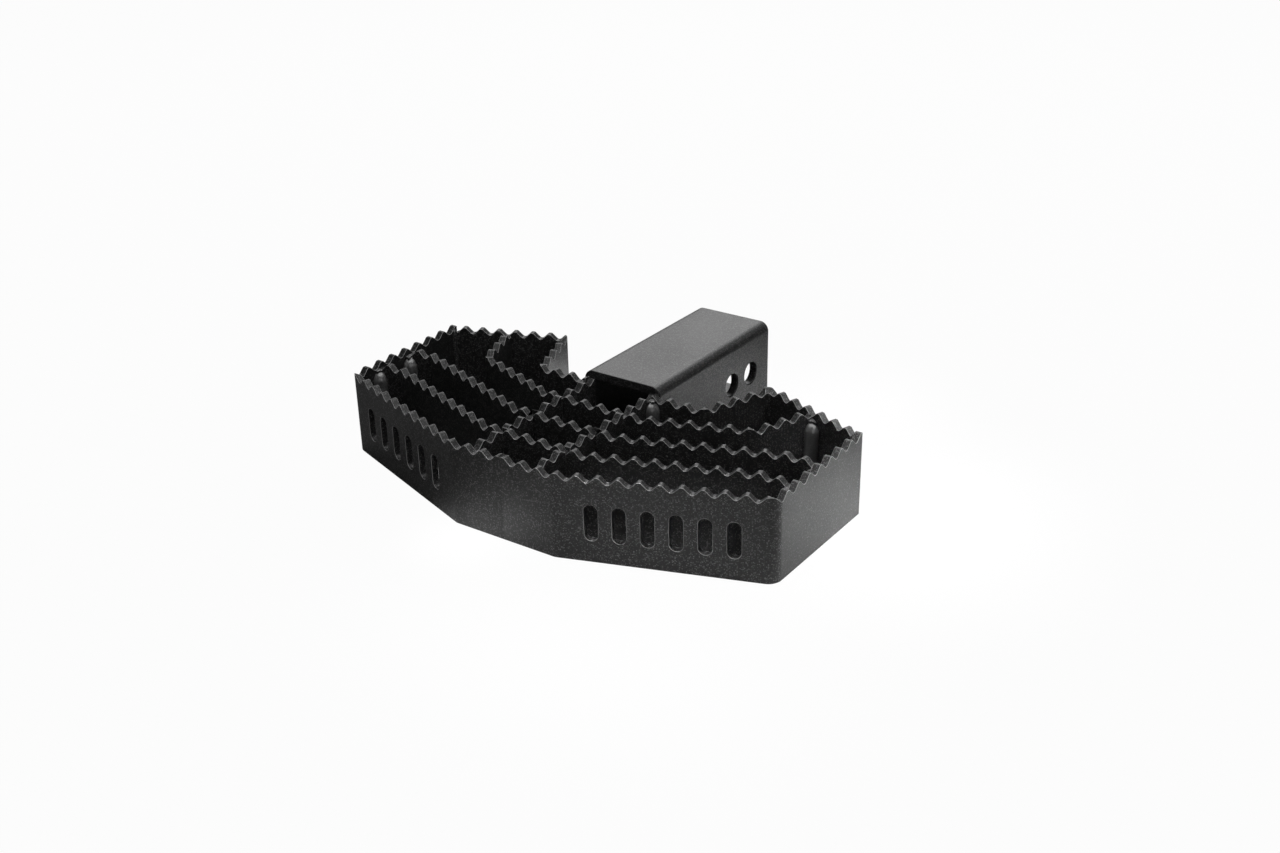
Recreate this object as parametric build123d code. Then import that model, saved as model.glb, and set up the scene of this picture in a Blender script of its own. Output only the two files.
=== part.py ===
"""Hitch receiver step: a square shank tube welded to a lattice of bent, saw-toothed plates.

Millimetres and degrees. +Z is up, +Y runs along the shank towards the vehicle, and +X is to the right of
someone who faces the vehicle. The origin is the middle of the footprint, on the surface that the step
rests on.
"""
from build123d import *

import os
from math import asin, atan2, cos, radians, sin, tan

# Shank tube
TUBE_SIDE = 63.5
TUBE_WALL = 6.35
TUBE_CORNER = 7.0
TUBE_INNER_CORNER = 2.5
TUBE_LENGTH = 143.0
PIN_DIAMETER = 17.0
PIN_FROM_END = 25.0
PIN_SPACING = 26.0
PIN_COUNT = 2

# Plates: every strip is cut flat with its teeth, then bent
PLATE_T = 4.76
PLATE_HEIGHT = 59.0
BEND_INSIDE = 4.8
TIGHT_BEND_INSIDE = 2.4
TOOTH_PITCH = 13.25
TOOTH_DEPTH = 4.25
TOOTH_RADIUS = 2.4
TOOTH_CREST = 0.9
CREST_BREAK = 12.0

# Plan of the step, measured to the middle of the plate's thickness unless it says otherwise
STEP_WIDTH = 345.6
STEP_DEPTH = 131.0
KNEE_X = 40.0
WING_ANGLE = 19.2
END_REACH = 20.2
REAR_ANGLE = 20.6
SHOULDER_X = 87.6
FRAME_FIRST_VALLEY = 8.9
REAR_FIRST_VALLEY = 3.4

# Lattice
RIB_NAMES = ("front", "middle", "rear")
RIB_PITCH = 31.3
ELBOW_INSET = 23.0
RETURN_X = 112.0
SPINE_FIRST_VALLEY = 5.4
LAP_CLEARANCE = 0.2

# Pierced row in each front wing
SLOT_WIDTH = 9.0
SLOT_HEIGHT = 25.0
SLOT_PITCH = 18.0
SLOT_MARGIN = 18.0
SLOT_ROW_Z = 27.5

# Weld beads, with a thinner seam where the two bands meet; crown and stop are shares of the leg
BEAD_LEG = 6.0
SEAM_LEG = 3.0
BEAD_CROWN = 0.62
BEAD_STOP = 0.4
BEAD_BELOW_TEETH = 0.6

# Places worked out from the sizes above
half_t = PLATE_T / 2
tube_front = (STEP_DEPTH - TUBE_LENGTH) / 2
tube_rear = tube_front + TUBE_LENGTH
front_y = tube_front - STEP_DEPTH + half_t
back_y = tube_front - half_t
end_x = STEP_WIDTH / 2 - half_t
elbow_x = end_x - ELBOW_INSET
rear_along = Vector(-cos(radians(REAR_ANGLE)), sin(radians(REAR_ANGLE)))
rear_square = Vector(sin(radians(REAR_ANGLE)), cos(radians(REAR_ANGLE)))
rear_corner = Vector(end_x, tube_front + END_REACH)
shoulder = rear_corner + rear_along * ((end_x - SHOULDER_X) / cos(radians(REAR_ANGLE)))
corner_mitre = half_t * tan(radians((90 - REAR_ANGLE) / 2))
end_rear_y = rear_corner.Y + corner_mitre
seam_y = rear_corner.Y - corner_mitre
end_inner_x = end_x - half_t
spine_x = TUBE_SIDE / 2 - TUBE_WALL
spine_outer = spine_x + half_t
front_inner = front_y + half_t


def on_wing(x: float, knee_y: float) -> Vector:
    """The point at x on a wing that leaves its knee at knee_y."""
    return Vector(x, knee_y + (x - KNEE_X) * tan(radians(WING_ANGLE)))


def rib_y(index: int) -> float:
    """The y of a rib's straight middle, counted from the front."""
    return front_y + (index + 1) * RIB_PITCH


def rib_return() -> tuple[Vector, Vector]:
    """The rear rib's last bend, and its end on the inner face of the rear plate."""
    bend = on_wing(RETURN_X, rib_y(len(RIB_NAMES) - 1))
    reach = (rear_corner - bend).dot(rear_square) - half_t
    return bend, bend + rear_square * reach


def turns_left(a: Vector, b: Vector, c: Vector) -> bool:
    """Whether the route a, b, c turns to its left at b."""
    return (b - a).cross(c - b).Z > 0


def edge_line(points: list[Vector], bends: list[float], side: int) -> Wire:
    """One long edge of a bent strip: side 1 is left of the route, side -1 is right of it."""
    up = Vector(0, 0, 1)
    runs = [(b - a).normalized() for a, b in zip(points, points[1:])]
    normals = [up.cross(run) * (side * half_t) for run in runs]
    corners = [points[0] + normals[0]]
    radii = []
    for i in range(1, len(points) - 1):
        mitre = normals[i - 1] + normals[i]
        corners.append(points[i] + mitre * (2 * half_t**2 / mitre.dot(mitre)))
        inside = turns_left(*points[i - 1 : i + 2]) == (side > 0)
        radii.append(bends[i - 1] if inside else bends[i - 1] + PLATE_T)
    corners.append(points[-1] + normals[-1])
    if not radii:
        return Wire(Line(*corners).edges())
    return Wire(FilletPolyline(*corners, radius=radii).edges())


def strip_path(points: list[Vector], bends: list[float]) -> Wire:
    """The bent strip's middle line, along which its teeth are counted."""
    if not bends:
        return Wire(Line(*points).edges())
    return Wire(FilletPolyline(*points, radius=[inside + half_t for inside in bends]).edges())


def blank_strip(points: list[Vector], bends: list[float]) -> Part:
    """A bent strip of full height, before its teeth are cut, with the inside radius of each bend."""
    left = edge_line(points, bends, 1)
    right = edge_line(points, bends, -1)
    ends = [Edge.make_line(left @ 0, right @ 0), Edge.make_line(left @ 1, right @ 1)]
    outline = Wire(left.edges() + right.edges() + ends)
    return extrude(Face(outline), PLATE_HEIGHT, dir=(0, 0, 1))


def tooth_gap() -> Part:
    """The cutter for the gap between two crests, with its valley at x = 0 and heights along y.

    It reaches through a strip that bends away within half a pitch.
    """
    low = PLATE_HEIGHT - TOOTH_DEPTH
    top = PLATE_HEIGHT + TOOTH_DEPTH
    entry = radians(CREST_BREAK)
    lip = Vector((TOOTH_PITCH - TOOTH_CREST) / 2, PLATE_HEIGHT)
    beyond = lip + Vector(cos(entry), sin(entry)) * TOOTH_CREST
    valley_centre = Vector(0, low + TOOTH_RADIUS)
    crest_centre = lip + Vector(sin(entry), -cos(entry)) * TOOTH_RADIUS
    apart = crest_centre - valley_centre
    flank = atan2(apart.Y, apart.X) + asin(2 * TOOTH_RADIUS / apart.length)
    square = Vector(sin(flank), -cos(flank)) * TOOTH_RADIUS
    valley_side = valley_centre + square
    crest_side = crest_centre - square

    def left(point: Vector) -> Vector:
        return Vector(-point.X, point.Y)

    with BuildSketch() as gap:
        with BuildLine():
            ThreePointArc(left(valley_side), (0, low), valley_side)
            Polyline(valley_side, crest_side, lip, beyond, (beyond.X, top), (-beyond.X, top))
            Polyline((-beyond.X, top), left(beyond), left(lip), left(crest_side), left(valley_side))
        make_face()
    bend = BEND_INSIDE + half_t
    bent_away = bend * (1 - cos(TOOTH_PITCH / 2 / bend))
    return extrude(gap.sketch, PLATE_T + bent_away, both=True)


def cut_teeth(strip: Part, path: Wire, first_valley: float) -> Part:
    """Cut tooth gaps along a strip, one pitch apart, from the first valley's distance along its path."""
    cutter = tooth_gap()
    count = int((path.length - first_valley) / TOOTH_PITCH) + 1
    gaps = []
    for i in range(count):
        along = first_valley + i * TOOTH_PITCH
        origin = path.position_at(along, position_mode=PositionMode.LENGTH)
        tangent = path.tangent_at(along, position_mode=PositionMode.LENGTH)
        station = Plane(origin=origin, x_dir=tangent, z_dir=tangent.cross(Vector(0, 0, 1)))
        gaps.append(station * cutter)
    return strip - gaps


def shank_tube() -> Part:
    """The square tube that slides into the receiver, with two pin holes through its side walls."""
    inside = TUBE_SIDE - 2 * TUBE_WALL
    section = RectangleRounded(TUBE_SIDE, TUBE_SIDE, TUBE_CORNER)
    section -= RectangleRounded(inside, inside, TUBE_INNER_CORNER)
    face_plane = Plane(origin=(0, tube_front, TUBE_SIDE / 2), x_dir=(1, 0, 0), z_dir=(0, -1, 0))
    tube = extrude(face_plane * section, -TUBE_LENGTH)
    for i in range(PIN_COUNT):
        y = tube_rear - PIN_FROM_END - i * PIN_SPACING
        tube -= Pos(0, y, TUBE_SIDE / 2) * Rot(0, 90, 0) * Cylinder(PIN_DIAMETER / 2, 2 * TUBE_SIDE)
    return tube


def outer_band() -> Part:
    """The right half of the frame: front, wing and end plates in one bent strip."""
    knee = Vector(KNEE_X, front_y)
    corner = on_wing(end_x, front_y)
    points = [Vector(0, front_y), knee, corner, Vector(end_x, end_rear_y)]
    bends = [BEND_INSIDE] * (len(points) - 2)
    band = cut_teeth(blank_strip(points, bends), strip_path(points, bends), FRAME_FIRST_VALLEY)
    wing = (corner - knee).normalized()
    room = (corner - knee).length - 2 * SLOT_MARGIN - SLOT_WIDTH
    gaps = int(room / SLOT_PITCH)
    for i in range(gaps + 1):
        place = (knee + corner) * 0.5 + wing * ((i - gaps / 2) * SLOT_PITCH)
        panel = Plane(origin=(place.X, place.Y, SLOT_ROW_Z), x_dir=wing, z_dir=wing.cross(Vector(0, 0, 1)))
        slot = panel * Rot(0, 0, 90) * SlotOverall(SLOT_HEIGHT, SLOT_WIDTH)
        band -= extrude(slot, PLATE_T, both=True)
    return band


def rear_band() -> Part:
    """The right rear plate, side of the pocket and back plate, one strip that is bent twice."""
    inlet = shoulder - rear_square * ((shoulder.Y - back_y) / rear_square.Y)
    points = [rear_corner, shoulder, inlet, Vector(spine_outer, back_y)]
    bends = [TIGHT_BEND_INSIDE] * (len(points) - 2)
    band = cut_teeth(blank_strip(points, bends), strip_path(points, bends), REAR_FIRST_VALLEY)
    return split(band, bisect_by=Plane(origin=(end_inner_x, 0, 0), z_dir=(1, 0, 0)), keep=Keep.BOTTOM)


def lap_slot(x: float, y: float, low: float, high: float) -> Part:
    """The opening of a half-lap joint where a rib and a spine cross."""
    width = PLATE_T + LAP_CLEARANCE
    return Pos(x, y, (low + high) / 2) * Box(width, width, high - low)


def spine() -> Part:
    """The right spine, from the front plate to the tube, slotted from above for the ribs."""
    points = [Vector(spine_x, tube_front), Vector(spine_x, front_inner)]
    bar = cut_teeth(blank_strip(points, []), strip_path(points, []), SPINE_FIRST_VALLEY)
    middle = PLATE_HEIGHT / 2 - LAP_CLEARANCE / 2
    for i in range(len(RIB_NAMES)):
        bar -= lap_slot(spine_x, rib_y(i), middle, PLATE_HEIGHT + TOOTH_DEPTH)
    return bar


def cross_rib(index: int) -> Part:
    """A rib that runs from side to side, slotted from below where it crosses the spines."""
    y = rib_y(index)
    if index == len(RIB_NAMES) - 1:
        half = [Vector(KNEE_X, y), *rib_return()]
    else:
        elbow = on_wing(elbow_x, y)
        half = [Vector(KNEE_X, y), elbow, Vector(end_inner_x, elbow.Y)]
    points = [Vector(-p.X, p.Y) for p in reversed(half)] + half
    bends = [BEND_INSIDE] * (len(points) - 2)
    path = strip_path(points, bends)
    rib = cut_teeth(blank_strip(points, bends), path, path.length / 2 % TOOTH_PITCH)
    middle = PLATE_HEIGHT / 2 + LAP_CLEARANCE / 2
    for side in (-1, 1):
        rib -= lap_slot(side * spine_x, y, -TOOTH_DEPTH, middle)
    return rib


def weld_bead(corner: Vector, along_a: Vector, along_b: Vector, leg: float) -> Part:
    """An upright fillet weld in a corner, crowned outwards, with a sloped stop below the teeth."""
    toe_a = corner + along_a * leg
    toe_b = corner + along_b * leg
    crown = corner + (along_a + along_b) * (leg * BEAD_CROWN)
    with BuildSketch() as fillet_section:
        with BuildLine():
            Polyline(corner, toe_a, crown, toe_b, close=True)
        make_face()
    height = PLATE_HEIGHT - TOOTH_DEPTH - BEAD_BELOW_TEETH
    bead = extrude(fillet_section.sketch, height)
    top = bead.faces().sort_by(Axis.Z)[-1]
    outer_edges = top.edges().sort_by_distance(corner + Vector(0, 0, height))[-2:]
    return chamfer(outer_edges, leg * BEAD_STOP)


def weld_corners() -> dict[str, tuple[Vector, Vector, Vector, float]]:
    """The right-hand welds: each one's corner, the two directions that its faces run in, and its leg."""
    right = Vector(1, 0)
    rear = Vector(0, 1)
    corners = {}
    for i, name in enumerate(RIB_NAMES[:-1]):
        rib_face = on_wing(elbow_x, rib_y(i)).Y - half_t
        corners[f"rib_{name}"] = (Vector(end_inner_x, rib_face), -right, -rear, BEAD_LEG)
    _, seat = rib_return()
    corners[f"rib_{RIB_NAMES[-1]}"] = (seat - rear_along * half_t, -rear_along, -rear_square, BEAD_LEG)
    corners["spine_front"] = (Vector(spine_outer, front_inner), right, rear, BEAD_LEG)
    corners["spine_back"] = (Vector(spine_outer, back_y - half_t), right, -rear, BEAD_LEG)
    corners["shank"] = (Vector(TUBE_SIDE / 2, tube_front), right, rear, BEAD_LEG)
    corners["rear_corner"] = (Vector(end_inner_x, seam_y), -rear, rear_along, SEAM_LEG)
    return corners


def all_nodes() -> dict[str, Part]:
    """Every piece of the step by its name."""
    nodes = {"shank_tube": shank_tube()}
    paired = {"outer_band": outer_band(), "rear_band": rear_band(), "spine": spine()}
    for name, corner in weld_corners().items():
        paired[f"weld_{name}"] = weld_bead(*corner)
    for name, piece in paired.items():
        nodes[f"{name}_right"] = piece
        nodes[f"{name}_left"] = mirror(piece, about=Plane.YZ)
    for i, name in enumerate(RIB_NAMES):
        nodes[f"cross_rib_{name}"] = cross_rib(i)
    return nodes


os.makedirs("parts", exist_ok=True)
for node_name, node in all_nodes().items():
    export_step(node, f"parts/{node_name}.step")
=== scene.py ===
"""Hitch receiver step: coated plates, a shank tube, domed welds, and a pale studio."""
import logging
from dataclasses import dataclass, field
from enum import Enum
from math import atan2, cos, pi, radians, sin
from typing import Any, Optional, Union

import bmesh
import bpy
from mathutils import Matrix, Vector, noise


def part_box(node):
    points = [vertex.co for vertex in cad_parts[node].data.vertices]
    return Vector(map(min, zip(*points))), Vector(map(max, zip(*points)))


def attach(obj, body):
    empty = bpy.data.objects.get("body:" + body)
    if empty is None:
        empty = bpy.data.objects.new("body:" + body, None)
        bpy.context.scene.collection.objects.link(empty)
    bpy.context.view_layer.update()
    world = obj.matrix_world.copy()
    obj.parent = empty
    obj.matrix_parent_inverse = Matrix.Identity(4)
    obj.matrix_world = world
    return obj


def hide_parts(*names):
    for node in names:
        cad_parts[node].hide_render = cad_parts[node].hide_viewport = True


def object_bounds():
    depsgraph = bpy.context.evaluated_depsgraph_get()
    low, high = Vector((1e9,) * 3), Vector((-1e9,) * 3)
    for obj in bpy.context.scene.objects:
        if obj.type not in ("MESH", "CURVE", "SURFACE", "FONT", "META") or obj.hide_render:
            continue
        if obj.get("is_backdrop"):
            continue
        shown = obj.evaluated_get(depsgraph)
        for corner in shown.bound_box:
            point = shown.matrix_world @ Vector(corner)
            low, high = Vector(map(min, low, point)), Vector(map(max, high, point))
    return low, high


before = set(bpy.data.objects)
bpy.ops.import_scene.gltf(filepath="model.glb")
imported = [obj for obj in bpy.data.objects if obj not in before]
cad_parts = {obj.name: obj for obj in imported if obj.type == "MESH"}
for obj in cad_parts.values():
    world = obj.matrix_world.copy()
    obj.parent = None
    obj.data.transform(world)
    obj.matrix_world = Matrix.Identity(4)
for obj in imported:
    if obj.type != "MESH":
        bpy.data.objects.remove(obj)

CAD_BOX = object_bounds()
BODY = "root"
MM = 0.001
# Face mark on rounded cut edges: a thinner, glossier coat whose light edge grey is a painted highlight.
THIN_COAT_AND_HIGHLIGHT = "thin_coat"
WELD_PREFIX = "weld_"
SQUARE = 90.0
HALF_TURN = 180.0
NOISE_MIDDLE = 0.5
EVEN_WEIGHT = 50

# Places of the colour sockets on a Mix node
MIX_FIRST = 6
MIX_SECOND = 7
MIX_RESULT = 2

log = logging.getLogger("hitch_step")


class Slot(Enum):
    """The record's material slots."""

    PLATE = "coated_plate"
    TUBE = "coated_tube"
    WELD = "coated_weld"


class Heading(float, Enum):
    """Directions seen from above, in degrees anticlockwise from the step's right."""

    RIGHT = 0.0
    LEFT = 180.0
    FRONT = 270.0


class Wire:
    """One output of a shader graph; arithmetic on it adds Math nodes."""

    def __init__(self, graph: "Graph", socket: Optional[bpy.types.NodeSocket]) -> None:
        """Wrap an output socket of the graph; a node that ends a graph has none."""
        self.graph = graph
        self.socket = socket

    def _math(self, operation: str, *values: Union["Wire", float]) -> "Wire":
        """The result of a new Math node with these inputs, in order."""
        return self.graph.add("ShaderNodeMath", {"operation": operation}, dict(enumerate(values)))

    def __add__(self, other: Union["Wire", float]) -> "Wire":
        """Self plus other."""
        return self._math("ADD", self, other)

    __radd__ = __add__

    def __sub__(self, other: Union["Wire", float]) -> "Wire":
        """Self minus other."""
        return self._math("SUBTRACT", self, other)

    def __rsub__(self, other: Union["Wire", float]) -> "Wire":
        """Other minus self."""
        return self._math("SUBTRACT", other, self)

    def __mul__(self, other: Union["Wire", float]) -> "Wire":
        """Self times other."""
        return self._math("MULTIPLY", self, other)

    __rmul__ = __mul__

    def either(self, other: "Wire") -> "Wire":
        """The larger of two values."""
        return self._math("MAXIMUM", self, other)

    def step(self, low: float, high: float) -> "Wire":
        """A smooth rise from 0 at low to 1 at high.

        Args:
            low: Where the rise starts.
            high: Where it ends; below low, the rise becomes a fall.

        Returns:
            The eased value.
        """
        flip = high < low
        start, end = (high, low) if flip else (low, high)
        settings = {"interpolation_type": "SMOOTHSTEP", "clamp": True}
        sockets = {"Value": self, "From Min": start, "From Max": end}
        eased = self.graph.add("ShaderNodeMapRange", settings, sockets)
        return 1.0 - eased if flip else eased


class Graph:
    """The node graph of one material or of the world."""

    def __init__(self, tree: bpy.types.NodeTree) -> None:
        """Start with an empty graph in the node tree."""
        self.tree = tree
        self.tree.nodes.clear()

    def add(self, kind: str, settings: dict[str, Any], sockets: dict, output: Union[int, str] = 0) -> Wire:
        """Add a node: settings first, then its sockets.

        Args:
            kind: The node's type.
            settings: Properties of the node.
            sockets: Input names or numbers, with a value or a Wire for each.
            output: The name or number of the output to return.

        Returns:
            That output.
        """
        node = self.tree.nodes.new(kind)
        for name, value in settings.items():
            setattr(node, name, value)
        for name, value in sockets.items():
            if isinstance(value, Wire):
                self.tree.links.new(value.socket, node.inputs[name])
            else:
                node.inputs[name].default_value = value
        return Wire(self, node.outputs[output] if len(node.outputs) else None)

    def mix_colour(self, share: Wire, first: Union[Wire, tuple], second: Union[Wire, tuple]) -> Wire:
        """Two colours mixed, with a share of the second."""
        sockets = {"Factor": share, MIX_FIRST: first, MIX_SECOND: second}
        return self.add("ShaderNodeMix", {"data_type": "RGBA"}, sockets, MIX_RESULT)

    def mix_shader(self, share: Wire, first: Wire, second: Wire) -> Wire:
        """Two shaders mixed, with a share of the second."""
        return self.add("ShaderNodeMixShader", {}, {0: share, 1: first, 2: second})


def grey(level: float) -> tuple[float, float, float, float]:
    """A neutral colour of one level."""
    return (level, level, level, 1.0)


@dataclass(frozen=True)
class PowderCoat:
    """A black powder coat: a satin film with a dense fine grain.

    The coat is thinner and glossier on cut edges, whose light grey is a painted highlight, and its gloss
    drifts slowly. Its raised grains are glossier, and their lighter grey is a painted glint. Its colours
    are grey levels.
    """

    name: str
    base: float = 0.012
    # Painted glint: the grains' lighter grey stands in for the light they catch.
    fleck_glint: float = 0.15
    fleck_share: float = 0.6
    fleck_size: float = 0.85 * MM
    fleck_core: float = 0.1
    fleck_rim: float = 0.75
    fleck_gloss: float = 0.1
    fleck_rise: float = 0.6
    grain_size: float = 1.1 * MM
    grain_height: float = 0.085 * MM
    grain_detail: float = 2.0
    roughness: float = 0.42
    specular: float = 0.5
    # Painted highlight: the light grey of the rounded edges stands in for the light they catch; edge_gloss
    # is their real extra gloss.
    edge: float = 0.34
    edge_gloss: float = 0.12
    drift: float = 0.06
    drift_size: float = 38.0 * MM
    drift_stretch: float = 0.35
    drift_detail: float = 3.0

    def material(self) -> bpy.types.Material:
        """Build the coat's material.

        Returns:
            The finished material.
        """
        made = bpy.data.materials.new(self.name)
        made.use_nodes = True
        graph = Graph(made.node_tree)
        place = graph.add("ShaderNodeTexCoord", {}, {}, "Object")
        edge_coat_and_highlight = graph.add("ShaderNodeAttribute", {"attribute_name": THIN_COAT_AND_HIGHLIGHT}, {}, "Fac")
        grains_and_glints = self._grains_and_glints(graph, place)
        # Painted glints on the raised grains, from the lighter grain grey.
        film_colour = graph.mix_colour(grains_and_glints, grey(self.base), grey(self.fleck_glint))
        # Painted highlight on the rounded edges, from the edge grey.
        colour = graph.mix_colour(edge_coat_and_highlight, film_colour, grey(self.edge))
        sway = (self._drift(graph, place) - NOISE_MIDDLE) * (2 * self.drift)
        roughness = self.roughness + sway - grains_and_glints * self.fleck_gloss - edge_coat_and_highlight * self.edge_gloss
        height = self._grain(graph, place) + grains_and_glints * self.fleck_rise
        bump = {"Strength": 1.0, "Distance": self.grain_height, "Height": height}
        film = {
            "Base Color": colour,
            "Roughness": roughness,
            "Normal": graph.add("ShaderNodeBump", {}, bump),
            "Specular IOR Level": self.specular,
        }
        shader = graph.add("ShaderNodeBsdfPrincipled", {}, film)
        graph.add("ShaderNodeOutputMaterial", {}, {"Surface": shader})
        return made

    def _grain(self, graph: Graph, place: Wire) -> Wire:
        """The fine orange-peel grain of the film, from 0 to 1."""
        sockets = {"Vector": place, "Scale": 1 / self.grain_size, "Detail": self.grain_detail}
        return graph.add("ShaderNodeTexNoise", {"noise_dimensions": "3D"}, sockets)

    def _grains_and_glints(self, graph: Graph, place: Wire) -> Wire:
        """Scatter small raised grains, glossier than the film, whose lighter grey is a painted glint.

        Args:
            graph: The graph to add to.
            place: Where the point is on the piece.

        Returns:
            A value from 0 between the grains to 1 on one.
        """
        sockets = {"Vector": place, "Scale": 1 / self.fleck_size}
        distance = graph.add("ShaderNodeTexVoronoi", {"feature": "F1"}, sockets, "Distance")
        colour = graph.add("ShaderNodeTexVoronoi", {"feature": "F1"}, sockets, "Color")
        chance = graph.add("ShaderNodeSeparateColor", {}, {"Color": colour}, "Red")
        return chance.step(1 - self.fleck_share, 1.0) * distance.step(self.fleck_rim, self.fleck_core)

    def _drift(self, graph: Graph, place: Wire) -> Wire:
        """Change the gloss slowly, with patches that are longer up the piece than across it.

        Args:
            graph: The graph to add to.
            place: Where the point is on the piece.

        Returns:
            A value from 0 to 1.
        """
        scale = (1.0, 1.0, self.drift_stretch)
        moved = graph.add("ShaderNodeMapping", {"vector_type": "POINT"}, {"Vector": place, "Scale": scale})
        sockets = {"Vector": moved, "Scale": 1 / self.drift_size, "Detail": self.drift_detail}
        return graph.add("ShaderNodeTexNoise", {"noise_dimensions": "3D"}, sockets)


@dataclass(frozen=True)
class StudioFloor:
    """A pale floor that the camera sees as nearly white, with the object's soft shadow left on it."""

    name: str = "studio_floor"
    colour: float = 0.6
    white_share: float = 0.97
    mirrored_share: float = 0.02

    def material(self) -> bpy.types.Material:
        """Build the floor's material.

        Returns:
            The finished material.
        """
        made = bpy.data.materials.new(self.name)
        made.use_nodes = True
        graph = Graph(made.node_tree)
        matt = graph.add("ShaderNodeBsdfDiffuse", {}, {"Color": grey(self.colour)})
        white = graph.add("ShaderNodeEmission", {}, {"Color": grey(1.0), "Strength": 1.0})
        share = backdrop_share(graph, self.white_share, self.mirrored_share)
        surface = graph.mix_shader(share, matt, white)
        graph.add("ShaderNodeOutputMaterial", {}, {"Surface": surface})
        return made


def backdrop_share(graph: Graph, seen: float, mirrored: float) -> Wire:
    """How much plain white a ray finds in the backdrop.

    Args:
        graph: The graph to add to.
        seen: The share for rays from the camera.
        mirrored: The share for reflected and refracted rays.

    Returns:
        The share for the ray at hand.
    """
    camera = graph.add("ShaderNodeLightPath", {}, {}, "Is Camera Ray")
    glossy = graph.add("ShaderNodeLightPath", {}, {}, "Is Glossy Ray")
    through = graph.add("ShaderNodeLightPath", {}, {}, "Is Transmission Ray")
    return camera * seen + glossy.either(through) * mirrored


@dataclass
class CoatedNode:
    """A solid of the step whose cut edges are rounded and marked for a thinner, glossier coat with a
    painted highlight.
    """

    node: str
    slot: Slot
    coat: bpy.types.Material
    edge_radius: float = 0.24 * MM
    segments: int = 2
    flat_angle: float = radians(0.6)
    sharp_angle: float = radians(32.0)
    merge_gap: float = 0.002 * MM

    def build(self) -> bpy.types.Object:
        """Make the rounded piece and put it in place of its solid.

        Returns:
            The finished object.
        """
        shape = bmesh.new()
        shape.from_mesh(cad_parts[self.node].data)
        bmesh.ops.remove_doubles(shape, verts=shape.verts, dist=self.merge_gap)
        bmesh.ops.dissolve_limit(
            shape,
            angle_limit=self.flat_angle,
            use_dissolve_boundaries=False,
            verts=shape.verts,
            edges=shape.edges,
            delimit=set(),
        )
        self._form(shape)
        shape.normal_update()
        self._round_edges(shape)
        return seat(finish_mesh(shape, f"{self.node}_coated", self.coat), self.slot, self.node)

    def _form(self, shape: bmesh.types.BMesh) -> None:
        """Form the shape further before its edges are rounded; a plain piece needs nothing."""

    def _round_edges(self, shape: bmesh.types.BMesh) -> None:
        """Round every clear corner, mark the rounding for a thinner, glossier coat with a painted
        highlight, and merge points that meet.

        Args:
            shape: The shape to round.
        """
        # Mark the rounding: a thinner, glossier coat with a painted highlight.
        edge_coat_and_highlight = shape.faces.layers.float.new(THIN_COAT_AND_HIGHLIGHT)
        sharp = [edge for edge in shape.edges if self._is_sharp(edge)]
        rounded = bmesh.ops.bevel(
            shape,
            geom=sharp,
            offset=self.edge_radius,
            offset_type="OFFSET",
            affect="EDGES",
            segments=self.segments,
            profile=0.5,
            material=-1,
            clamp_overlap=False,
            loop_slide=True,
        )
        for face in rounded["faces"]:
            face[edge_coat_and_highlight] = 1.0
        bmesh.ops.remove_doubles(shape, verts=shape.verts, dist=self.merge_gap)

    def _is_sharp(self, edge: bmesh.types.BMEdge) -> bool:
        """Whether two faces meet at the edge in a clear corner."""
        return len(edge.link_faces) == 2 and edge.calc_face_angle() > self.sharp_angle


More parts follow.
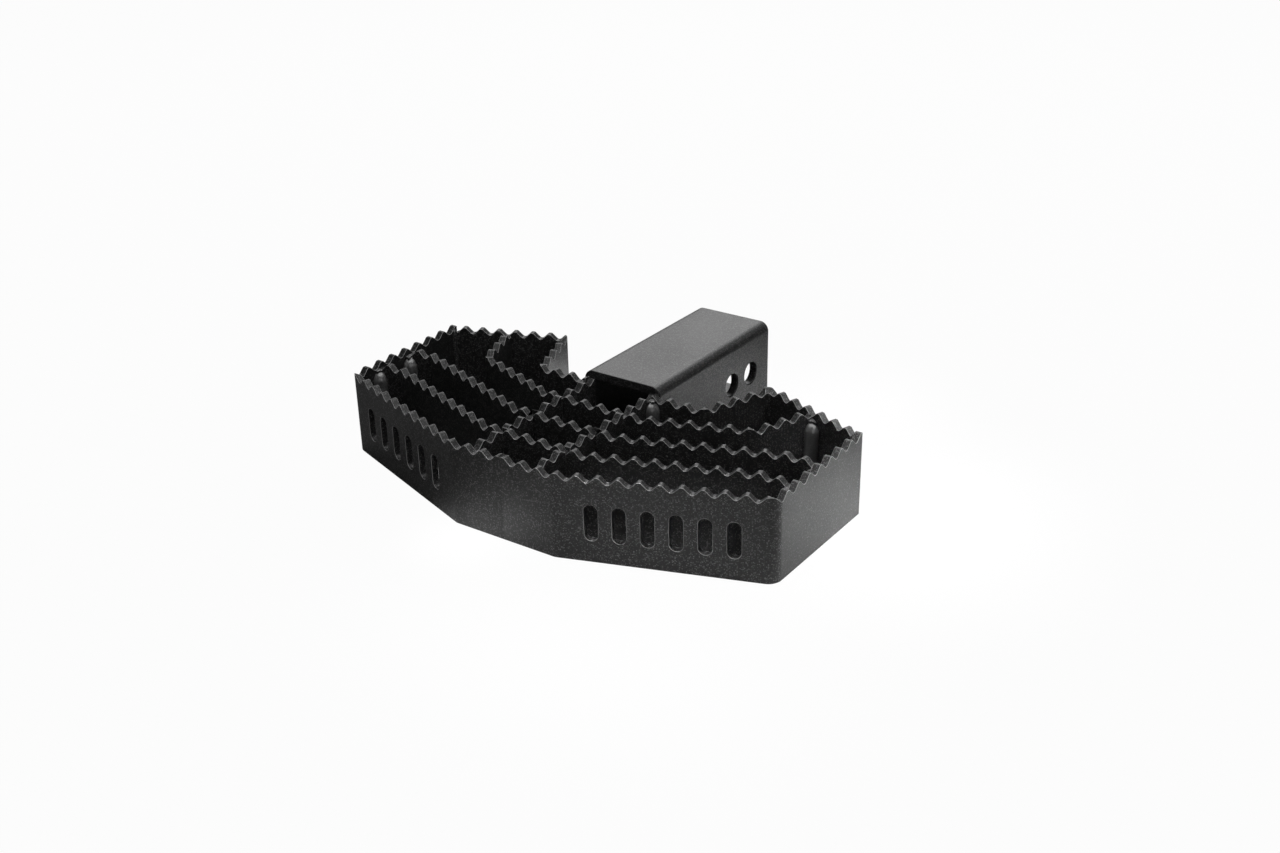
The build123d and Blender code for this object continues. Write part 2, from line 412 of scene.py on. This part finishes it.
@dataclass
class ToothedPlate(CoatedNode):
    """A plate whose sawn teeth are eased into the round wave of the real ones.

    Each pass draws the points along the teeth towards their neighbours, and the gain gives back
    the depth that this takes away.
    """

    tooth_depth: float = 4.25 * MM
    floor_margin: float = 0.4 * MM
    cuts: int = 5
    passes: int = 30
    ease: float = 0.5
    gain: float = 1.2
    upward: float = 0.3
    flank_slope: float = 0.3
    shortest_flank: float = 0.9 * MM
    joint_gap: float = 0.05 * MM

    def _form(self, shape: bmesh.types.BMesh) -> None:
        """Cut each tooth's flanks across, then ease the crests and valleys.

        Args:
            shape: The plate.
        """
        top = max(vert.co.z for vert in shape.verts)
        floor = top - self.tooth_depth - self.floor_margin
        flanks = [edge for edge in self._along(shape.edges, floor) if self._is_steep(edge)]
        bmesh.ops.subdivide_edges(shape, edges=flanks, cuts=self.cuts, use_grid_fill=True)
        wave = {}
        for edge in self._along(shape.edges, floor):
            for vert in edge.verts:
                wave.setdefault(vert, []).append((edge.other_vert(vert), 1 / edge.calc_length()))
        for _ in range(self.passes):
            eased = {vert: self._eased(vert, near) for vert, near in wave.items()}
            for vert, z in eased.items():
                vert.co.z = z
        middle = top - self.tooth_depth / 2
        for vert in wave:
            vert.co.z = min(top, middle + (vert.co.z - middle) * self.gain)

    def _along(self, edges: bmesh.types.BMEdgeSeq, floor: float) -> list[bmesh.types.BMEdge]:
        """The edges along the teeth: above the floor level, and not across the plate's thickness."""
        return [edge for edge in edges if self._lowest(edge) > floor and not self._crosses(edge)]

    def _lowest(self, edge: bmesh.types.BMEdge) -> float:
        """The level of the edge's lower end."""
        return min(vert.co.z for vert in edge.verts)

    def _crosses(self, edge: bmesh.types.BMEdge) -> bool:
        """Whether the edge crosses the plate's top from one side face to the other."""
        return all(face.normal.z > self.upward for face in edge.link_faces)

    def _is_steep(self, edge: bmesh.types.BMEdge) -> bool:
        """Find out whether an edge is a long one that runs up or down a tooth's flank.

        Args:
            edge: The edge.

        Returns:
            True for such an edge.
        """
        rise = abs(edge.verts[0].co.z - edge.verts[1].co.z)
        length = edge.calc_length()
        return length > self.shortest_flank and rise > self.flank_slope * length

    def _is_sharp(self, edge: bmesh.types.BMEdge) -> bool:
        """Whether the edge is a clear corner that isn't in the welded joint at the middle of the front."""
        jointed = all(abs(vert.co.x) < self.joint_gap for vert in edge.verts)
        return super()._is_sharp(edge) and not jointed

    def _eased(self, vert: bmesh.types.BMVert, near: list[tuple[bmesh.types.BMVert, float]]) -> float:
        """The level of a point, drawn towards its neighbours along the teeth by their weights."""
        mean = sum(other.co.z * weight for other, weight in near) / sum(weight for _, weight in near)
        return vert.co.z + (mean - vert.co.z) * self.ease


@dataclass(frozen=True)
class WeldCorner:
    """A corner that a weld fills: its first wall's heading, its opening in degrees, and the weld's leg."""

    name: str
    first: float
    opening: float
    leg: float

    def mirrored(self) -> "WeldCorner":
        """The same corner on the other side of the step."""
        return WeldCorner(self.name, HALF_TURN - self.first - self.opening, self.opening, self.leg)

    def foot(self, low: Vector) -> Vector:
        """Find where both walls meet the floor.

        Args:
            low: The lowest corner of the box around the weld's solid.

        Returns:
            The foot of the corner line.
        """
        walls = [radians(self.first), radians(self.first + self.opening)]
        x = low.x - min(0.0, *(self.leg * cos(wall) for wall in walls))
        y = low.y - min(0.0, *(self.leg * sin(wall) for wall in walls))
        return Vector((x, y, low.z))


@dataclass
class WeldBead:
    """An upright weld: a faintly rippled column under a dome, with a lumpy crater end on top.

    Values that end in share are shares of the weld's leg, except flat_share, which is one of the radius.
    """

    node: str
    corner: WeldCorner
    coat: bpy.types.Material
    rise: float
    full_share: float
    ripple_pitch: float = 3.6 * MM
    ripple_depth: float = 0.12 * MM
    points_per_ripple: int = 4
    crater_share: float = 0.34
    dome_share: float = 1.05
    dome_end: float = radians(66.0)
    dome_points: int = 6
    neck_share: float = 0.4
    neck_lift_share: float = 0.06
    lobe_share: float = 0.52
    lobe_angles: tuple[float, ...] = (-50.0, -25.0, 0.0, 25.0, 50.0, 72.0)
    flat_share: float = 0.04
    uneven_share: float = 0.05
    lump_share: float = 0.42
    lump_size: float = 1.6 * MM
    steps: int = 16
    axis_radius: float = 0.05 * MM

    def build(self) -> bpy.types.Object:
        """Spin the bead's outline through its corner and put it in place of its solid.

        Returns:
            The finished object.
        """
        low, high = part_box(self.node)
        height = high.z - low.z + self.rise
        shape = bmesh.new()
        outline = shape.faces.new([shape.verts.new((r, 0.0, z)) for r, z in self._outline(height)])
        bmesh.ops.spin(
            shape,
            geom=[outline, *outline.edges, *outline.verts],
            cent=(0, 0, 0),
            axis=(0, 0, 1),
            angle=radians(self.corner.opening),
            steps=self.steps,
            use_duplicate=False,
        )
        bmesh.ops.remove_doubles(shape, verts=shape.verts, dist=self.axis_radius / 2)
        bmesh.ops.holes_fill(shape, edges=shape.edges, sides=0)
        bmesh.ops.recalc_face_normals(shape, faces=shape.faces)
        self._make_uneven(shape, height)
        turn = Matrix.Rotation(radians(self.corner.first), 4, "Z")
        place = Matrix.Translation(self.corner.foot(low)) @ turn
        bmesh.ops.transform(shape, matrix=place, verts=shape.verts)
        return seat(finish_mesh(shape, f"{self.node}_coated", self.coat), Slot.WELD, self.node)

    def _outline(self, height: float) -> list[tuple[float, float]]:
        """The bead's outline from foot to tip, as radius and height.

        Args:
            height: The bead's whole height.

        Returns:
            The points, starting and ending on the corner line.
        """
        leg = self.corner.leg * self.full_share
        neck = height - leg * self.crater_share
        dome = leg * self.dome_share
        spring = neck - dome * sin(self.dome_end)
        count = round(spring / self.ripple_pitch) * self.points_per_ripple
        points = [(0.0, 0.0)]
        for i in range(count + 1):
            ripple = sin(pi * (i / self.points_per_ripple % 1.0))
            points.append((leg - self.ripple_depth * (1 - ripple), spring * i / count))
        for i in range(1, self.dome_points + 1):
            angle = self.dome_end * i / self.dome_points
            points.append((leg * cos(angle), spring + dome * sin(angle)))
        points.append((leg * self.neck_share, neck + leg * self.neck_lift_share))
        half = (height - neck) / 2
        for angle in map(radians, self.lobe_angles):
            points.append((leg * self.lobe_share * cos(angle), neck + half + half * sin(angle)))
        points.append((0.0, height))
        return points

    def _make_uneven(self, shape: bmesh.types.BMesh, height: float) -> None:
        """Flatten the bead's crown, and push its skin in and out so that no two welds are alike.

        Args:
            shape: The bead, with the corner line on its Z axis.
            height: The bead's whole height.
        """
        leg = self.corner.leg
        opening = radians(self.corner.opening)
        kind = self.node.removeprefix(WELD_PREFIX)
        seed = Vector((len(self.node), ord(kind[0]), ord(kind[-1])))
        for vert in shape.verts:
            radius = vert.co.xy.length
            if radius > self.axis_radius:
                around = atan2(vert.co.y, vert.co.x) / opening
                crater = vert.co.z > height - leg * self.crater_share
                share = self.lump_share if crater else self.uneven_share
                push = noise.noise(vert.co / self.lump_size + seed) * share * leg
                crown = 1.0 - self.flat_share * sin(pi * around)
                vert.co.xy *= (radius * crown + push) / radius


def finish_mesh(shape: bmesh.types.BMesh, name: str, coat: bpy.types.Material) -> bpy.types.Object:
    """Turn a modelled shape into a smooth object with its coat.

    Args:
        shape: The modelled shape, which is freed.
        name: The new object's name.
        coat: Its material.

    Returns:
        The object, at the origin.
    """
    mesh = bpy.data.meshes.new(name)
    shape.to_mesh(mesh)
    shape.free()
    mesh.shade_smooth()
    mesh.materials.append(coat)
    piece = bpy.data.objects.new(name, mesh)
    bpy.context.scene.collection.objects.link(piece)
    weighted = piece.modifiers.new("flat_faces_stay_flat", "WEIGHTED_NORMAL")
    weighted.mode = "FACE_AREA"
    weighted.weight = EVEN_WEIGHT
    return piece


def seat(piece: bpy.types.Object, slot: Slot, node: str) -> bpy.types.Object:
    """Put a finished piece on the step in place of a solid.

    Args:
        piece: The finished piece.
        slot: The material slot that it belongs to; not used.
        node: The solid that it stands for.

    Returns:
        The same piece.
    """
    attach(piece, BODY)
    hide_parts(node)
    log.info("%s: %d faces", piece.name, len(piece.data.polygons))
    return piece


@dataclass
class Tread:
    """The open tread: the bent bands of the frame, the spines and the cross ribs."""

    coat: bpy.types.Material
    nodes: tuple[str, ...] = (
        "outer_band_left",
        "outer_band_right",
        "rear_band_left",
        "rear_band_right",
        "spine_left",
        "spine_right",
        "cross_rib_front",
        "cross_rib_middle",
        "cross_rib_rear",
    )

    def build(self) -> list[bpy.types.Object]:
        """Build every plate, with its teeth eased and its edges rounded."""
        return [ToothedPlate(node, Slot.PLATE, self.coat).build() for node in self.nodes]


@dataclass
class Shank:
    """The square tube that slides into the receiver."""

    coat: bpy.types.Material
    edge_radius: float = 0.7 * MM

    def build(self) -> bpy.types.Object:
        """Build the tube, with its ends and the rims of its pin holes rounded."""
        return CoatedNode("shank_tube", Slot.TUBE, self.coat, edge_radius=self.edge_radius).build()


@dataclass
class Welds:
    """Every weld bead of the step."""

    coat: bpy.types.Material
    seam_coat: bpy.types.Material
    rear_angle: float = 20.6
    leg: float = 6.0 * MM
    full_share: float = 1.22
    seam: str = "rear_corner"
    seam_leg: float = 3.0 * MM
    seam_share: float = 0.75
    rises: dict[str, float] = field(
        default_factory=lambda: {
            "rib_front": 1.0 * MM,
            "rib_middle": 0.6 * MM,
            "rib_rear": -0.3 * MM,
            "spine_back": 3.2 * MM,
            "rear_corner": 3.6 * MM,
        }
    )

    def build(self) -> list[bpy.types.Object]:
        """Build the beads on both sides.

        Returns:
            The finished beads.
        """
        right_hand = (
            WeldCorner("rib_front", Heading.LEFT, SQUARE, self.leg),
            WeldCorner("rib_middle", Heading.LEFT, SQUARE, self.leg),
            WeldCorner("rib_rear", Heading.FRONT - self.rear_angle, SQUARE, self.leg),
            WeldCorner("spine_front", Heading.RIGHT, SQUARE, self.leg),
            WeldCorner("spine_back", Heading.FRONT, SQUARE, self.leg),
            WeldCorner("shank", Heading.RIGHT, SQUARE, self.leg),
            WeldCorner(self.seam, Heading.LEFT - self.rear_angle, SQUARE + self.rear_angle, self.seam_leg),
        )
        beads = []
        for corner in right_hand:
            for side, placed in (("right", corner), ("left", corner.mirrored())):
                rise = self.rises.get(corner.name, 0.0)
                in_seam = corner.name == self.seam
                coat = self.seam_coat if in_seam else self.coat
                full = self.seam_share if in_seam else self.full_share
                node = f"{WELD_PREFIX}{corner.name}_{side}"
                beads.append(WeldBead(node, placed, coat, rise, full).build())
        return beads


@dataclass
class Softbox:
    """One soft rectangular lamp; it lights only its pieces, or everything where it has none."""

    name: str
    place: Vector
    aim: Vector
    size: tuple[float, float]
    radiance: float
    spread: float = 180.0
    pieces: tuple[bpy.types.Object, ...] = ()

    def build(self) -> bpy.types.Object:
        """Make the lamp.

        Returns:
            The lamp's object.
        """
        lamp = bpy.data.lights.new(self.name, "AREA")
        lamp.shape = "RECTANGLE"
        lamp.size, lamp.size_y = self.size
        lamp.energy = self.radiance * pi * self.size[0] * self.size[1]
        lamp.spread = radians(self.spread)
        holder = bpy.data.objects.new(self.name, lamp)
        holder.location = self.place
        holder.rotation_euler = (self.aim - self.place).to_track_quat("-Z", "Y").to_euler()
        holder.visible_camera = False
        if self.pieces:
            lit = bpy.data.collections.new(f"{self.name}_lights")
            for piece in self.pieces:
                lit.objects.link(piece)
            holder.light_linking.receiver_collection = lit
        bpy.context.scene.collection.objects.link(holder)
        log.info("%s: radiance %.2f", self.name, self.radiance)
        return holder


@dataclass
class PhotoCamera:
    """The camera, where the photograph was taken from."""

    azimuth: float = radians(35.44)
    elevation: float = radians(25.532)
    roll: float = radians(-1.18)
    distance: float = 1.0508
    target: Vector = field(default_factory=lambda: Vector((0.019315, -0.012667, 0.035)))
    focal_pixels: float = 1542.7
    image_width: float = 1280.0
    sensor: float = 36.0

    def build(self) -> bpy.types.Object:
        """Make the camera and make it the scene's own.

        Returns:
            The camera's object.
        """
        level = cos(self.elevation)
        back = Vector((sin(self.azimuth) * level, -cos(self.azimuth) * level, sin(self.elevation)))
        right = Vector((cos(self.azimuth), sin(self.azimuth), 0.0))
        up = back.cross(right)
        tilted_right = right * cos(self.roll) + up * sin(self.roll)
        tilted_up = up * cos(self.roll) - right * sin(self.roll)
        data = bpy.data.cameras.new("photo_camera")
        data.sensor_fit = "HORIZONTAL"
        data.sensor_width = self.sensor
        data.lens = self.focal_pixels / self.image_width * self.sensor
        holder = bpy.data.objects.new("photo_camera", data)
        turn = Matrix((tilted_right, tilted_up, back)).transposed().to_4x4()
        holder.matrix_world = Matrix.Translation(self.target + back * self.distance) @ turn
        bpy.context.scene.collection.objects.link(holder)
        bpy.context.scene.camera = holder
        return holder


@dataclass
class Studio:
    """The pale floor, the lamps, the world and the camera."""

    floor_reach: float = 6.0
    world_level: float = 0.06

    def build(self, pieces: tuple[bpy.types.Object, ...], welds: tuple[bpy.types.Object, ...]) -> None:
        """Set up everything around the object.

        Args:
            pieces: The object's pieces.
            welds: Those of them that are welds.
        """
        bpy.context.scene.view_settings.view_transform = "Standard"
        floor = self._floor()
        self._world()
        for lamp in (*self._room_lamps(pieces, welds), *self._floor_lamps((floor,))):
            lamp.build()
        PhotoCamera().build()

    def _room_lamps(
        self, pieces: tuple[bpy.types.Object, ...], welds: tuple[bpy.types.Object, ...]
    ) -> tuple[Softbox, ...]:
        """Place the lamps that stand around the object and aim at its middle.

        Args:
            pieces: The object's pieces.
            welds: Those of them that are welds.

        Returns:
            Three keys behind the object, two lamps above it and a fill.
        """
        middle = (CAD_BOX[0] + CAD_BOX[1]) / 2
        above = Vector((0.08, -0.12, 1.1))
        return (
            Softbox(
                "key_behind_left",
                place=Vector((-0.93, 1.31, 0.82)),
                aim=middle,
                size=(0.85, 0.75),
                radiance=2.2,
            ),
            Softbox(
                "key_behind_high",
                place=Vector((-0.3, 1.28, 1.23)),
                aim=middle,
                size=(0.8, 0.7),
                radiance=2.6,
            ),
            Softbox(
                "key_behind_right",
                place=Vector((0.62, 1.34, 1.03)),
                aim=middle,
                size=(0.8, 0.7),
                radiance=0.55,
            ),
            Softbox("overhead", place=above, aim=middle, size=(0.85, 0.85), radiance=3.0, pieces=pieces),
            Softbox("weld_glint", place=above, aim=middle, size=(0.35, 0.35), radiance=12.0, pieces=welds),
            Softbox(
                "fill_front_right",
                place=Vector((1.4, -1.2, 0.8)),
                aim=middle,
                size=(0.9, 0.7),
                radiance=1.6,
            ),
        )

    def _floor_lamps(self, ground: tuple[bpy.types.Object, ...]) -> tuple[Softbox, ...]:
        """Place the small lamps that brighten patches of the floor, which the coat mirrors.

        Args:
            ground: The floor, which most of them light alone.

        Returns:
            The lamps.
        """
        beside = {
            "place": Vector((0.4, 0.06, 0.4)),
            "aim": Vector((0.19, 0.025, 0.0)),
            "size": (0.16, 0.12),
            "spread": 30.0,
        }
        return (
            Softbox("pool_right", radiance=3.6, pieces=ground, **beside),
            Softbox("spill_right", radiance=2.1, **beside),
            Softbox(
                "pool_front",
                place=Vector((0.12, -0.26, 0.4)),
                aim=Vector((0.115, -0.2, 0.0)),
                size=(0.2, 0.1),
                radiance=2.1,
                spread=40.0,
            ),
            Softbox(
                "pool_behind",
                place=Vector((0.13, 0.2, 0.4)),
                aim=Vector((0.085, 0.16, 0.0)),
                size=(0.06, 0.1),
                radiance=2.9,
                spread=26.0,
                pieces=ground,
            ),
            Softbox(
                "pool_pocket",
                place=Vector((-0.05, 0.1, 0.35)),
                aim=Vector((-0.05, 0.085, 0.0)),
                size=(0.04, 0.06),
                radiance=12.0,
                spread=18.0,
                pieces=ground,
            ),
            Softbox(
                "pool_knee",
                place=Vector((-0.045, -0.21, 0.2)),
                aim=Vector((-0.022, -0.15, 0.0)),
                size=(0.04, 0.03),
                radiance=4.6,
                spread=26.0,
                pieces=ground,
            ),
        )

    def _floor(self) -> bpy.types.Object:
        """Lay the floor.

        Returns:
            The floor's object.
        """
        shape = bmesh.new()
        bmesh.ops.create_grid(shape, x_segments=1, y_segments=1, size=self.floor_reach)
        mesh = bpy.data.meshes.new("studio_floor")
        shape.to_mesh(mesh)
        shape.free()
        mesh.materials.append(StudioFloor().material())
        floor = bpy.data.objects.new("studio_floor", mesh)
        bpy.context.scene.collection.objects.link(floor)
        floor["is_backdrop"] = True
        return floor

    def _world(self) -> None:
        """Light the room evenly, with a white backdrop for the camera."""
        world = bpy.data.worlds.new("studio")
        bpy.context.scene.world = world
        world.use_nodes = True
        graph = Graph(world.node_tree)
        room = graph.add("ShaderNodeBackground", {}, {"Color": grey(1.0), "Strength": self.world_level})
        white = graph.add("ShaderNodeBackground", {}, {"Color": grey(1.0), "Strength": 1.0})
        share = backdrop_share(graph, seen=1.0, mirrored=0.0)
        graph.add("ShaderNodeOutputWorld", {}, {"Surface": graph.mix_shader(share, room, white)})


def write_sizes() -> None:
    """Work out the box of the solids and the box of the finished object, without keeping them."""
    boxes = {"cad": CAD_BOX, "visual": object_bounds()}
    {name: [list(corner) for corner in box] for name, box in boxes.items()}


def main() -> None:
    """Build the step's pieces and the studio around them."""
    logging.basicConfig(level=logging.INFO, format="%(message)s")
    plate_coat = PowderCoat("plate_coat")
    tube_coat = PowderCoat(
        "tube_coat",
        # Painted glints on the raised grains.
        fleck_glint=0.14,
        fleck_size=0.8 * MM,
        grain_height=0.075 * MM,
        roughness=0.36,
        # A faint painted highlight on the tube's rounded edges.
        edge=0.02,
    )
    weld_coat = PowderCoat(
        "weld_coat",
        # Painted highlight: a base lighter than the plates' stands in for the light on the weld domes.
        base=0.045,
        # Painted glints on the raised grains.
        fleck_glint=0.16,
        grain_height=0.03 * MM,
        roughness=0.3,
        specular=1.0,
    )
    plate_film = plate_coat.material()
    tread = Tread(plate_film).build()
    shank = Shank(tube_coat.material()).build()
    welds = Welds(weld_coat.material(), plate_film).build()
    Studio().build((*tread, shank, *welds), tuple(welds))
    write_sizes()


if __name__ == "__main__":
    main()
